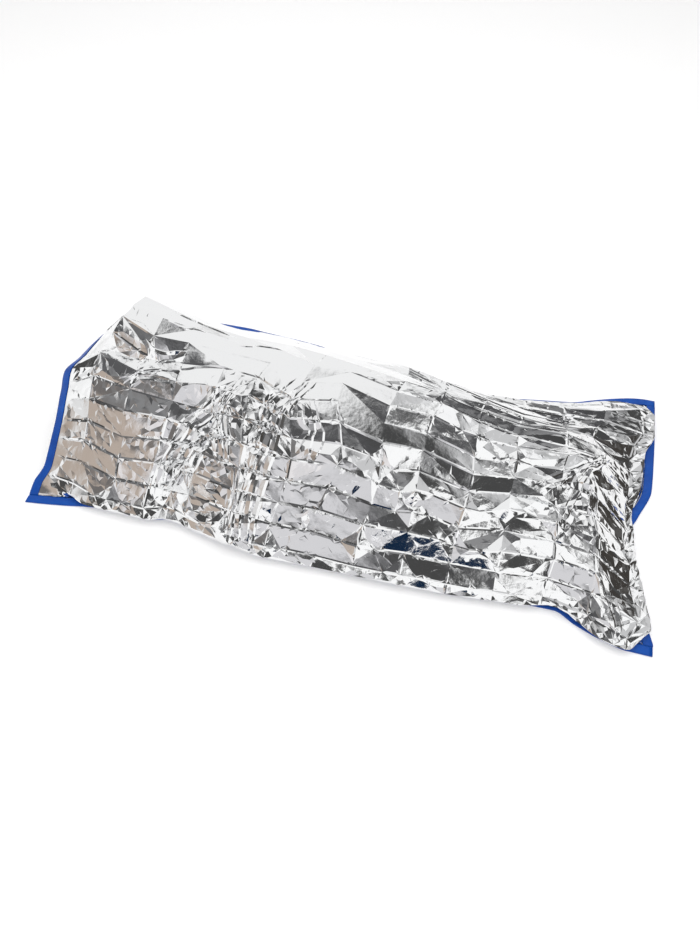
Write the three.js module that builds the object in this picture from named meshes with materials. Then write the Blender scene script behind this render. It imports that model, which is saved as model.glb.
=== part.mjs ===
// Emergency sleeping bag of creased metallised film, open at the mouth and closed at both sides and the foot.
// It lies lofted on its flat bottom panel, and folded tape binds every seam and lip.
// Millimetres. +X runs from the mouth to the foot, +Y from the near side to the far side, +Z is up.
// The origin is on the underside, at the middle of the nominal outline.
import * as THREE from "three";

// Driving dimensions
const LENGTH = 2000; // mouth to foot seam
const WIDTH = 960; // nominal width between the side seams
const FILM = 1; // film thickness
const TAPE = 0.8; // tape thickness
const TAPE_LEG = 28; // width of tape on each face of a seam
const GAP = 0.3; // clearance between pieces

// Stack of layers in a seam: tape, bottom margin, top flange, tape
const MARGIN_LIFT = TAPE + GAP; // underside of the bottom panel's margin
const FLANGE_MID = MARGIN_LIFT + FILM + GAP + FILM / 2; // mid-plane of the top panel's flange
const SEAM_HALF = FILM + GAP * 1.5; // half of what a seam tape holds
const LIP_HALF = FILM / 2 + GAP; // half of what a lip tape holds

// Profile of the top panel where it leaves a seam, inward from the edge
const FLANGE = 28.8; // flat flange under the tape
const RISE_AT = 32; // place where the film turns up
const RISE_UP = 9;
const FOLD_UP = 13; // height halfway to the foot of the lofted film
const HEM_UP = 24; // foot of the lofted film

// Profile of the bottom panel's edge, inward from the edge
const MARGIN = 34; // raised margin
const RAMP_END = 54; // place where the panel reaches the ground
const FOOT_TRIM = 8; // how far the panel stops short of the foot seam

// Storage creases: rectangles that the film was folded into, now uneven facets
const CELLS_ALONG = 14;
const CELLS_ACROSS = 14;
const ROWS_PER_CELL = 3;
const COLUMNS_PER_CELL = 2;
const CALM_SHARE = 0.07; // share of the girth by each side seam where the facets fade
const CALM_FOOT = 70; // length by the foot seam where the facets fade
const CALM_MOUTH = 90; // length by the mouth where the facets fade
const BOTTOM_COLUMNS = 12; // strips across the flat of the bottom panel
const SCATTER = { i: 127.1, j: 311.7, draw: 74.7, gain: 43758.5453 }; // steps of the uneven draws
const DEPTH_DRAW = 0;
const DIAGONAL_DRAW = 1;
const FLANGE_COLUMNS = 2; // columns of each flange, which the side tapes cover

// Cross sections of the lofted film: seam edges, how far inside them the film stands (negative overhangs),
// the two knees and the crest, and the depth of the storage facets
const SECTIONS = table(
  ["along", "nearEdge", "nearInset", "nearKneeAt", "nearKneeUp", "crestAt", "crestUp",
    "farKneeAt", "farKneeUp", "farInset", "farEdge", "facet"],
  [
    [0, 0, 70, 290, 175, 520, 240, 750, 185, 60, 955, 6],
    [70, 10, 55, 308, 208, 600, 292, 790, 193, 60, 960, 8],
    [140, 22, 25, 332, 243, 638, 370, 830, 206, 55, 968, 9],
    [200, 34, -15, 350, 256, 628, 360, 829, 196, 55, 978, 9],
    [280, 44, -30, 368, 268, 615, 345, 826, 184, 60, 990, 9],
    [420, 44, -30, 385, 275, 590, 318, 820, 160, 58, 993, 9],
    [490, 58, -24, 386, 274, 588, 313, 815, 160, 18, 987, 9],
    [620, 38, -30, 385, 272, 585, 305, 800, 160, 16, 978, 9],
    [730, 20, -30, 375, 271, 582, 305, 792, 168, 18, 966, 9],
    [820, 9, -30, 365, 270, 580, 305, 785, 175, 48, 946, 10],
    [900, 12, -30, 354, 261, 574, 299, 776, 178, 48, 940, 10],
    [1000, 17, -30, 340, 248, 565, 290, 765, 180, 18, 925, 11],
    [1200, 22, -30, 315, 212, 545, 258, 740, 165, 16, 880, 12],
    [1400, 31, -30, 295, 180, 530, 218, 716, 146, 16, 868, 13],
    [1600, 50, -30, 285, 150, 510, 180, 702, 122, 16, 898, 14],
    [1720, 54, -4, 280, 130, 500, 152, 700, 104, 16, 920, 14],
    [1790, 24, -8, 270, 118, 500, 136, 710, 94, 16, 945, 13],
    [1880, -5, -24, 260, 70, 500, 80, 720, 58, 24, 975, 10],
    [1960, -20, -16, 250, 26, 500, 28, 740, 26, 45, 995, 6],
    [2000, -20, 36, 250, 24, 500, 24, 750, 24, 48, 1000, 5],
  ]);

// Setback of the upper lip of the mouth, by share of the girth
const LIP = table(
  ["share", "setback"],
  [
    [0, 0], [0.07, 26], [0.2, 30], [0.33, 14], [0.4, 0], [0.47, 30],
    [0.6, 55], [0.7, 68], [0.85, 50], [1, 0],
  ]);
const LIP_REACH = 420; // length over which that setback fades

// Setback of the foot seam, and how far inside it the film stands, by share of the width
const FOOT = table(
  ["share", "setback", "inset"],
  [
    [0, 0, 36], [0.04, 12, -12], [0.15, 45, -25], [0.38, 80, -25], [0.47, 50, 20],
    [0.6, 8, 35], [0.75, 2, 30], [0.85, 0, -4], [0.95, 0, -4], [1, 0, 40],
  ]);
const FOOT_REACH = 300; // length over which that setback fades

// Main folds, each from one place to another on the film: half of its width, and its rise or drop
const FOLDS = table(
  ["fromAlong", "fromShare", "toAlong", "toShare", "half", "rise"],
  [
    [475, 0.05, 510, 0.22, 60, -22], // valley in front of the elbow
    [510, 0.22, 640, 0.44, 60, -20],
    [560, 0.05, 570, 0.22, 60, 18], // ridge of the forearm
    [570, 0.22, 680, 0.44, 60, 16],
    [712, 0.04, 735, 0.27, 70, 22], // ridge over the hip
    [735, 0.27, 855, 0.57, 70, 22],
    [135, 0.37, 640, 0.42, 60, 12], // edge of the flat chest
    [40, 0.6, 240, 0.55, 60, -18], // gathered neck
    [180, 0.44, 445, 0.51, 60, -20],
    [885, 0.33, 1115, 0.28, 55, 14], // thigh
    [1070, 0.62, 1655, 0.57, 60, 14], // long wrinkles on the legs
    [1080, 0.82, 1655, 0.7, 60, 14],
    [1235, 0.76, 1795, 0.8, 55, -14],
    [1760, 0.55, 1515, 0.22, 60, 16], // creases that spread from the toes
    [1760, 0.55, 1385, 0.44, 60, 14],
    [1765, 0.5, 1845, 0.05, 60, 18], // edge of the end face
  ]);
const FOLD_GIRTH = 1040; // girth that the folds' shares are measured on

const FILM_FINISH = { color: 0xc8cbd0, roughness: 0.18, metalness: 1 };
const TAPE_FINISH = { color: 0x0b4fb8, roughness: 0.35, metalness: 0 };

function table(names, rows) {
  return rows.map((row) => Object.fromEntries(names.map((name, k) => [name, row[k]])));
}

// Value of a column between the rows of a table, on a smooth curve that never overshoots them
function valueAt(rows, key, name, at) {
  const inner = rows.slice(1, -1);
  const i = inner.filter((row) => row[key] <= at).length;
  const span = rows[i + 1][key] - rows[i][key];
  const t = (at - rows[i][key]) / span;
  const rise = t * t * (3 - 2 * t);
  const leave = t * (1 - t) * (1 - t) * span * slopeAt(rows, key, name, i);
  const arrive = t * t * (t - 1) * span * slopeAt(rows, key, name, i + 1);
  return rows[i][name] * (1 - rise) + rows[i + 1][name] * rise + leave + arrive;
}

function slopeAt(rows, key, name, i) {
  const slope = (k) => (rows[k + 1][name] - rows[k][name]) / (rows[k + 1][key] - rows[k][key]);
  const before = slope(Math.max(i - 1, 0));
  const after = slope(Math.min(i, rows.length - 2));
  return before * after > 0 ? (2 * before * after) / (before + after) : 0;
}

// Smooth rise from 0 to 1 as a value goes from 0 to its reach
function fade(value, reach) {
  return THREE.MathUtils.smoothstep(value, 0, reach);
}

// The same seemingly random number from 0 to 1 for the same three counts
function scatter(i, j, draw) {
  const wave = Math.sin(i * SCATTER.i + j * SCATTER.j + draw * SCATTER.draw) * SCATTER.gain;
  return wave - Math.floor(wave);
}

// Height of the storage facets, from -1 to 1: each cell is two flat triangles
function facetAt(along, share) {
  const u = (along / LENGTH) * CELLS_ALONG;
  const v = share * CELLS_ACROSS;
  const i = Math.min(Math.floor(u), CELLS_ALONG - 1);
  const j = Math.min(Math.floor(v), CELLS_ACROSS - 1);
  const corner = (di, dj) => 2 * scatter(i + di, j + dj, DEPTH_DRAW) - 1;
  const mirrored = scatter(i, j, DIAGONAL_DRAW) < 0.5;
  const p = mirrored ? 1 - (u - i) : u - i;
  const q = v - j;
  const side = mirrored ? 0 : 1;
  const start = corner(1 - side, 0);
  const end = corner(side, 1);
  const turn = p > q ? corner(side, 0) : corner(1 - side, 1);
  return start + (turn - start) * Math.max(p, q) + (end - turn) * Math.min(p, q);
}

// Height of one fold at a place on the film
function foldAt(fold, place) {
  const from = new THREE.Vector2(fold.fromAlong, fold.fromShare * FOLD_GIRTH);
  const run = new THREE.Vector2(fold.toAlong, fold.toShare * FOLD_GIRTH).sub(from);
  const t = THREE.MathUtils.clamp(place.clone().sub(from).dot(run) / run.lengthSq(), 0, 1);
  const away = place.distanceTo(from.addScaledVector(run, t)) / fold.half;
  return fold.rise * Math.max(0, 1 - away * away) ** 2;
}

// Height of all main folds at a place on the film: the highest ridge and the deepest valley there
function foldsAt(along, share) {
  const place = new THREE.Vector2(along, share * FOLD_GIRTH);
  const heights = FOLDS.map((fold) => foldAt(fold, place));
  return Math.max(0, ...heights) + Math.min(0, ...heights);
}

// How far the film stands off its smooth cross section
function standOff(along, share) {
  const calmSides = fade(share, CALM_SHARE) * fade(1 - share, CALM_SHARE);
  const calmEnds = fade(along, CALM_MOUTH) * fade(LENGTH - along, CALM_FOOT);
  const facet = valueAt(SECTIONS, "along", "facet", along) * facetAt(along, share);
  return calmSides * calmEnds * (facet + foldsAt(along, share));
}

// Share of the foot seam's setback that a place along the bag takes
function footShare(along) {
  return Math.max(0, 1 - (LENGTH - along) / FOOT_REACH);
}

// Places across one cross section, from the near seam edge to the far one, with their heights
function crossSection(along) {
  const value = (name) => valueAt(SECTIONS, "along", name, along);
  const lofted = new THREE.CatmullRomCurve3([
    new THREE.Vector3(along, value("nearEdge") + value("nearInset"), HEM_UP),
    new THREE.Vector3(along, value("nearKneeAt"), value("nearKneeUp")),
    new THREE.Vector3(along, value("crestAt"), value("crestUp")),
    new THREE.Vector3(along, value("farKneeAt"), value("farKneeUp")),
    new THREE.Vector3(along, value("farEdge") - value("farInset"), HEM_UP),
  ], false, "chordal");
  const hem = (edge, inward, inset) => hemProfile(inset).map(
    ([away, up]) => ({ share: inward > 0 ? 0 : 1, at: new THREE.Vector3(along, edge + inward * away, up) }));
  const steps = CELLS_ACROSS * COLUMNS_PER_CELL;
  return [
    ...hem(value("nearEdge"), 1, value("nearInset")),
    ...lofted.getSpacedPoints(steps).map((at, k) => ({ share: k / steps, at })),
    ...hem(value("farEdge"), -1, value("farInset")).reverse(),
  ];
}

// The hem from a seam edge inwards: distance from the edge, and height
function hemProfile(inset) {
  return [[0, FLANGE_MID], [FLANGE, FLANGE_MID], [RISE_AT, RISE_UP], [(RISE_AT + inset) / 2, FOLD_UP]];
}

// Mid-surface of the top panel without facets, as rows of places on the film
function topRows() {
  const steps = CELLS_ALONG * ROWS_PER_CELL;
  const evenly = Array.from({ length: steps }, (_, k) => ((k + 1) / steps) * LENGTH);
  const rows = [0, TAPE_LEG, ...evenly].map(
    (along) => crossSection(along).map((place) => loftedPlace(along, place)));
  const last = rows.at(-1);
  const hem = hemProfile(0).map((_, k) => last.map((place) => footHemPlace(place, k)));
  return rows.concat(hem.reverse());
}

function loftedPlace(along, { share, at }) {
  const width = share > 0 && share < 1 ? widthShare(at.y) : share;
  const lip = valueAt(LIP, "share", "setback", share) * Math.max(0, 1 - along / LIP_REACH);
  const foot = valueAt(FOOT, "share", "setback", width) + valueAt(FOOT, "share", "inset", width);
  return { along, share, width, at: at.clone().setX(along + lip - foot * footShare(along)) };
}

function footHemPlace({ share, width, at }, k) {
  const seam = LENGTH - valueAt(FOOT, "share", "setback", width);
  const [away, up] = hemProfile(valueAt(FOOT, "share", "inset", width))[k];
  return { along: LENGTH, share, width, at: new THREE.Vector3(seam - away, at.y, Math.min(at.z, up)) };
}

// Share of the width of the lofted film at the foot
function widthShare(across) {
  const { nearEdge, nearInset, farEdge, farInset } = SECTIONS.at(-1);
  return THREE.MathUtils.clamp(
    THREE.MathUtils.inverseLerp(nearEdge + nearInset, farEdge - farInset, across), 0, 1);
}

// Mid-surface of the top panel with its facets and folds
function topSurface(rows) {
  const smooth = rows.map((row) => row.map((place) => place.at));
  const out = normals(smooth);
  return rows.map((row, i) => row.map(
    ({ along, share, at }, j) => at.clone().addScaledVector(out[i][j], standOff(along, share))));
}

// Mid-surface of the bottom panel: flat on the ground, with raised margins under the seams
function bottomSurface(rows) {
  return rows.map((row) => {
    const near = row[0].at;
    const far = row.at(-1).at;
    const pull = footShare(row[0].along);
    return acrossBottom(near.y, far.y).map((across, k, all) => {
      const onSide = k === 0 || k === all.length - 1;
      const setback = onSide ? 0 : valueAt(FOOT, "share", "setback", widthShare(across));
      const inset = Math.min(across - near.y, far.y - across, near.x, LENGTH - near.x);
      const lift = MARGIN_LIFT * THREE.MathUtils.clamp((RAMP_END - inset) / (RAMP_END - MARGIN), 0, 1);
      const straight = Math.min(near.x, LENGTH - FOOT_TRIM);
      return new THREE.Vector3(straight - setback * pull, across, lift + FILM / 2);
    });
  });
}

function acrossBottom(near, far) {
  const flat = Array.from({ length: BOTTOM_COLUMNS + 1 }, (_, k) => THREE.MathUtils.lerp(
    near + RAMP_END, far - RAMP_END, k / BOTTOM_COLUMNS));
  return [near, near + MARGIN, ...flat, far - MARGIN, far];
}

// Unit normals of a grid, each the mean of the normals of the quads around it
function normals(grid) {
  const sums = grid.map((row) => row.map(() => new THREE.Vector3()));
  for (let i = 0; i + 1 < grid.length; i += 1) {
    for (let j = 0; j + 1 < grid[i].length; j += 1) {
      const one = grid[i + 1][j + 1].clone().sub(grid[i][j]);
      const other = grid[i][j + 1].clone().sub(grid[i + 1][j]);
      const normal = one.cross(other).normalize();
      for (const sum of [sums[i][j], sums[i + 1][j], sums[i][j + 1], sums[i + 1][j + 1]]) {
        sum.add(normal);
      }
    }
  }
  return sums.map((row) => row.map((sum) => sum.normalize()));
}

// Two triangles of a quad, cut along one diagonal or the other
function quad(a, b, c, d, turned) {
  return turned ? [a, b, d, b, c, d] : [a, b, c, a, c, d];
}

// Closed solid of a sheet, from its mid-surface
function sheet(mid, out) {
  const rows = mid.length;
  const columns = mid[0].length;
  const points = [FILM / 2, -FILM / 2].flatMap((offset) => mid.flatMap(
    (row, i) => row.map((at, j) => at.clone().addScaledVector(out[i][j], offset))));
  const upper = (i, j) => i * columns + j;
  const lower = (i, j) => upper(i, j) + rows * columns;
  const faces = [];
  for (let i = 0; i + 1 < rows; i += 1) {
    for (let j = 0; j + 1 < columns; j += 1) {
      const turned = (i + j) % 2 === 1;
      faces.push(...quad(upper(i, j), upper(i + 1, j), upper(i + 1, j + 1), upper(i, j + 1), turned));
      faces.push(...quad(lower(i, j), lower(i, j + 1), lower(i + 1, j + 1), lower(i + 1, j), turned));
    }
  }
  const rim = rimOf(rows, columns);
  rim.forEach(([i, j], k) => {
    const [m, n] = rim[(k + 1) % rim.length];
    faces.push(...quad(upper(i, j), lower(i, j), lower(m, n), upper(m, n), false));
  });
  return solid(points, faces);
}

// Row and column of each place around a grid's rim, in turn
function rimOf(rows, columns) {
  const rim = [];
  for (let i = 0; i < rows - 1; i += 1) {
    rim.push([i, 0]);
  }
  for (let j = 0; j < columns - 1; j += 1) {
    rim.push([rows - 1, j]);
  }
  for (let i = rows - 1; i > 0; i -= 1) {
    rim.push([i, columns - 1]);
  }
  for (let j = columns - 1; j > 0; j -= 1) {
    rim.push([0, j]);
  }
  return rim;
}

// Closed solid of a tape folded over an edge: two legs and the web that joins them
function binding(edge, edgeOut, inner, innerOut, half) {
  const outside = half + TAPE;
  const rings = edge.map((at, k) => {
    const away = at.clone().sub(inner[k]).normalize();
    const web = (beyond, up) => at.clone().addScaledVector(away, beyond).addScaledVector(edgeOut[k], up);
    const tip = (up) => inner[k].clone().addScaledVector(innerOut[k], up);
    return [
      tip(outside), web(GAP + TAPE, outside), web(GAP + TAPE, -outside), tip(-outside),
      tip(-half), web(GAP, -half), web(GAP, half), tip(half),
    ];
  });
  return loft(rings);
}

// Closed solid through rings of eight points, with the diagonals of each leg as on the film under it
function loft(rings) {
  const count = rings[0].length;
  const index = (k, n) => k * count + (n % count);
  const faces = [];
  for (let k = 0; k + 1 < rings.length; k += 1) {
    for (let n = 0; n < count; n += 1) {
      const turned = (k + Math.floor(n / 2)) % 2 === 0;
      faces.push(...quad(index(k, n), index(k + 1, n), index(k + 1, n + 1), index(k, n + 1), turned));
    }
  }
  const end = [[0, 1, 6, 7], [1, 2, 5, 6], [2, 3, 4, 5]];
  for (const [a, b, c, d] of end) {
    faces.push(...quad(index(0, a), index(0, b), index(0, c), index(0, d), false));
    const last = rings.length - 1;
    faces.push(...quad(index(last, d), index(last, c), index(last, b), index(last, a), false));
  }
  return solid(rings.flat(), faces);
}

// Geometry of a closed mesh, with its faces turned outwards
function solid(points, faces) {
  let volume = 0;
  for (let k = 0; k < faces.length; k += 3) {
    const [a, b, c] = [points[faces[k]], points[faces[k + 1]], points[faces[k + 2]]];
    volume += a.dot(b.clone().cross(c));
  }
  const geometry = new THREE.BufferGeometry();
  geometry.setFromPoints(points);
  geometry.setIndex(volume > 0 ? faces : faces.slice().reverse());
  geometry.translate(-LENGTH / 2, -WIDTH / 2, 0);
  geometry.computeVertexNormals();
  return geometry;
}

// Tape around a flat seam or lip: its edge, the direction inwards, and the stack that it holds
function flatBinding(edge, inwards, half) {
  const mid = half + TAPE;
  const level = edge.map((at) => at.clone().setZ(mid));
  const inner = level.map((at) => at.clone().addScaledVector(inwards, TAPE_LEG));
  const up = edge.map(() => new THREE.Vector3(0, 0, 1));
  return binding(level, up, inner, up, half);
}

// Tape folded over the upper lip of the mouth, between the two side seams
function upperLipTape(top, out) {
  const between = (row) => row.slice(FLANGE_COLUMNS, -FLANGE_COLUMNS);
  return binding(between(top[0]), between(out[0]), between(top[1]), between(out[1]), LIP_HALF);
}

function named(name, geometry, finish) {
  const mesh = new THREE.Mesh(geometry, new THREE.MeshStandardMaterial(finish));
  mesh.name = name;
  return mesh;
}

function sleepingBag() {
  const rows = topRows();
  const top = topSurface(rows);
  const out = normals(top);
  const bottom = bottomSurface(rows);
  const up = bottom.map((row) => row.map(() => new THREE.Vector3(0, 0, 1)));
  const nearEdge = top.map((row) => row[0]);
  const farEdge = top.map((row) => row.at(-1));
  const footEdge = top.at(-1).slice(1, -1);
  const lowerLip = bottom[0].slice(1, -1);
  const towardsFoot = new THREE.Vector3(1, 0, 0);
  const towardsFar = new THREE.Vector3(0, 1, 0);
  const bag = new THREE.Group();
  bag.add(
    named("top_panel", sheet(top, out), FILM_FINISH),
    named("bottom_panel", sheet(bottom, up), FILM_FINISH),
    named("near_side_tape", flatBinding(nearEdge, towardsFar, SEAM_HALF), TAPE_FINISH),
    named("far_side_tape", flatBinding(farEdge, towardsFar.clone().negate(), SEAM_HALF), TAPE_FINISH),
    named("foot_tape", flatBinding(footEdge, towardsFoot.clone().negate(), SEAM_HALF), TAPE_FINISH),
    named("mouth_tape_top", upperLipTape(top, out), TAPE_FINISH),
    named("mouth_tape_bottom", flatBinding(lowerLip, towardsFoot, LIP_HALF), TAPE_FINISH),
  );
  return bag;
}

export default sleepingBag();
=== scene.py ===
"""Looks of the emergency sleeping bag: creased silver film bound with folded blue tape, on a pale floor."""

import math

import bpy
import numpy as np
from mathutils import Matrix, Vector
from mathutils.geometry import delaunay_2d_cdt


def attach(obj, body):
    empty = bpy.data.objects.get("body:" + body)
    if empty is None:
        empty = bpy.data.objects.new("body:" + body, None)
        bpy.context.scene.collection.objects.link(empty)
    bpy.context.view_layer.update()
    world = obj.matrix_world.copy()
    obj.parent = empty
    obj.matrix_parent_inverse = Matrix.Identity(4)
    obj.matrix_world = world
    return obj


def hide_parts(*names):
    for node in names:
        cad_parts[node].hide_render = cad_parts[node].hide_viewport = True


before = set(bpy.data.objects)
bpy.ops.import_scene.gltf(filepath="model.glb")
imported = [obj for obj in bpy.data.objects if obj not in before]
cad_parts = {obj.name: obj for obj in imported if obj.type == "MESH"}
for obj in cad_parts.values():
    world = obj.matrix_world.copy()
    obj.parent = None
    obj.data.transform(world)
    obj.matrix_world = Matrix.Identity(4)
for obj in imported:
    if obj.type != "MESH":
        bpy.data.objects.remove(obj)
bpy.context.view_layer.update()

# Sizes of the bag in millimetres, as in the solids
LENGTH = 2000.0
WIDTH = 960.0
METRES = 0.001  # metres in a millimetre
FILM = 1.0  # thickness of the solid films that the thin sheets stand for
TAPE = 0.8  # thickness of the tape, its width on each side and its gap to the film
TAPE_LEG = 28.0
TAPE_GAP = 0.3
MARGIN_LIFT = TAPE + TAPE_GAP  # how far the bottom film's margin is raised for the tape under it
FILM_MID = FILM / 2  # heights of the mid-planes of the bottom film and of the top film's hem
FLANGE_MID = MARGIN_LIFT + FILM + TAPE_GAP + FILM / 2
SEAM_HALF = FILM + 1.5 * TAPE_GAP  # half of what a tape is folded over, at a seam and at a lip
LIP_HALF = FILM / 2 + TAPE_GAP
FLANGE = TAPE_LEG + TAPE  # profile of the hem: width of its flat, where it rises, and heights on it
RISE_AT = 32.0
RISE_UP = 9.0
FOLD_UP = 13.0
HEM_UP = 24.0
MARGIN = 34.0  # width of the bottom film's raised margin, and where the ramp inside it ends
RAMP_END = 54.0
LIP_REACH = 420.0  # lengths over which the setbacks of the lip and of the foot seam fade
FOOT_REACH = 300.0
FOOT_TRIM = 8.0  # how far the bottom film ends short of the foot seam
GIRTH = 1040.0  # girth that shares of the folds are measured on


def table(names, rows):
    """Columns of a table of numbers, by name."""
    return dict(zip(names.split(), np.array(rows, float).T))


# Cross sections of the lofted film, as in the solids
SECTIONS = table(
    "along near_edge near_inset near_knee_at near_knee_up crest_at crest_up"
    " far_knee_at far_knee_up far_inset far_edge",
    [
        [0, 0, 70, 290, 175, 520, 240, 750, 185, 60, 955],
        [70, 10, 55, 308, 208, 600, 292, 790, 193, 60, 960],
        [140, 22, 25, 332, 243, 638, 370, 830, 206, 55, 968],
        [200, 34, -15, 350, 256, 628, 360, 829, 196, 55, 978],
        [280, 44, -30, 368, 268, 615, 345, 826, 184, 60, 990],
        [420, 44, -30, 385, 275, 590, 318, 820, 160, 58, 993],
        [490, 58, -24, 386, 274, 588, 313, 815, 160, 18, 987],
        [620, 38, -30, 385, 272, 585, 305, 800, 160, 16, 978],
        [730, 20, -30, 375, 271, 582, 305, 792, 168, 18, 966],
        [820, 9, -30, 365, 270, 580, 305, 785, 175, 48, 946],
        [900, 12, -30, 354, 261, 574, 299, 776, 178, 48, 940],
        [1000, 17, -30, 340, 248, 565, 290, 765, 180, 18, 925],
        [1200, 22, -30, 315, 212, 545, 258, 740, 165, 16, 880],
        [1400, 31, -30, 295, 180, 530, 218, 716, 146, 16, 868],
        [1600, 50, -30, 285, 150, 510, 180, 702, 122, 16, 898],
        [1720, 54, -4, 280, 130, 500, 152, 700, 104, 16, 920],
        [1790, 24, -8, 270, 118, 500, 136, 710, 94, 16, 945],
        [1880, -5, -24, 260, 70, 500, 80, 720, 58, 24, 975],
        [1960, -20, -16, 250, 26, 500, 28, 740, 26, 45, 995],
        [2000, -20, 36, 250, 24, 500, 24, 750, 24, 48, 1000],
    ])

# Setback of the upper lip, by share of the girth
LIP = table(
    "share setback",
    [
        [0, 0], [0.07, 26], [0.2, 30], [0.33, 14], [0.4, 0], [0.47, 30],
        [0.6, 55], [0.7, 68], [0.85, 50], [1, 0],
    ])

# Setback of the foot seam, and how far inside it the film stands, by share of the width
FOOT = table(
    "share setback inset",
    [
        [0, 0, 36], [0.04, 12, -12], [0.15, 45, -25], [0.38, 80, -25], [0.47, 50, 20],
        [0.6, 8, 35], [0.75, 2, 30], [0.85, 0, -4], [0.95, 0, -4], [1, 0, 40],
    ])

# Main folds, as in the solids but fading at their far ends: half width, rise and places (along, share)
MAIN_FOLDS = [
    (60, -22, [(475, 0.05), (510, 0.22), (640, 0.44)]),
    (60, 17, [(560, 0.05), (570, 0.22), (680, 0.44)]),
    (70, 22, [(712, 0.04), (735, 0.27), (855, 0.57)]),
    (60, 12, [(135, 0.37), (640, 0.42)]),
    (60, -18, [(40, 0.6), (240, 0.55)]),
    (60, -20, [(180, 0.44), (445, 0.51)]),
    (55, 14, [(885, 0.33), (1115, 0.28)]),
    (60, 14, [(1070, 0.62), (1655, 0.57)]),
    (60, 14, [(1080, 0.82), (1655, 0.7)]),
    (55, -14, [(1235, 0.76), (1795, 0.8)]),
    (60, 16, [(1850, 0.65), (1760, 0.55), (1515, 0.22)]),
    (60, 14, [(1850, 0.65), (1760, 0.55), (1385, 0.44)]),
    (60, 18, [(1765, 0.5), (1845, 0.05)]),
]

# Bundles of narrow pleats: half width, rise, count, spacing and the places the middle one runs through
PLEATS = [
    (10, 7.0, 4, 21, [(640, 0.43), (569, 0.37), (499, 0.3), (484, 0.245), (464, 0.17), (459, 0.07)]),
    (9, 4.0, 3, 18, [(653, 0.44), (618, 0.38), (628, 0.295), (638, 0.225)]),
    (10, 7.0, 4, 21, [(858, 0.555), (793, 0.43), (768, 0.325), (748, 0.24), (748, 0.12), (758, 0.03)]),
    (8, 3.0, 2, 16, [(690, 0.24), (706, 0.12), (712, 0.02)]),
    (10, 3.0, 3, 22, [(880, 0.47), (905, 0.38), (880, 0.3)]),
    (5, 3.0, 1, 0, [(344, 0.445), (464, 0.47), (594, 0.48)]),
    (6, 3.6, 1, 0, [(249, 0.515), (349, 0.505), (424, 0.51)]),
    (6, 3.4, 1, 0, [(539, 0.625), (404, 0.655), (269, 0.655)]),
    (6, 3.2, 1, 0, [(450, 0.6), (380, 0.59), (300, 0.6)]),
    (6, 3.4, 1, 0, [(700, 0.6), (620, 0.605), (560, 0.59)]),
    (9, -3.0, 2, 20, [(239, 0.365), (304, 0.41), (359, 0.435)]),
    (8, 2.5, 2, 16, [(1060, 0.7), (1300, 0.66), (1560, 0.68), (1800, 0.72)]),
    (9, 3.0, 3, 20, [(1000, 0.78), (1250, 0.75), (1520, 0.74), (1800, 0.78)]),
    (8, 3.0, 2, 20, [(1200, 0.88), (1500, 0.86), (1800, 0.84)]),
    (9, 4.0, 2, 18, [(1865, 0.66), (1760, 0.5), (1686, 0.28)]),
    (8, 3.0, 2, 22, [(1850, 0.62), (1720, 0.48), (1600, 0.4)]),
    (9, 3.5, 2, 18, [(1795, 0.43), (1815, 0.29), (1830, 0.18), (1880, 0.09), (1920, 0.03)]),
]

# How the main folds and the pleats end, stray and lean
FOLD_END = 0.25  # shares of a main fold and of a pleat over which they fade
PLEAT_END = 0.2
PLEAT_DROP = 0.35  # share by which every second pleat of a bundle is lower
PLEAT_STRAY = 5.0  # how far a pleat strays from the middle one's course
PLEAT_SIDES = (0.6, 1.4)  # widths of a pleat's steep and gentle sides, as shares of its half width

# Crossings of the storage creases that are pinched into stars: place, and rise or drop
PINCHES = table(
    "along share rise",
    [
        [1114, 0.101, 10], [1254, 0.0385, 9], [1254, 0.2885, 9], [1254, 0.226, 8],
        [1532, 0.2885, 10], [1532, 0.1635, 11], [1532, 0.0385, 9], [1672, 0.2885, 9],
        [1393, 0.5385, 9], [1532, 0.476, 9], [1393, 0.2885, 9], [1393, 0.1635, -8],
        [1114, 0.351, -8], [418, 0.0385, 9], [279, 0.0385, 8], [209, 0.476, 9],
        [557, 0.0385, -9], [697, 0.0385, 11], [836, 0.0385, 7],
    ])

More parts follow.
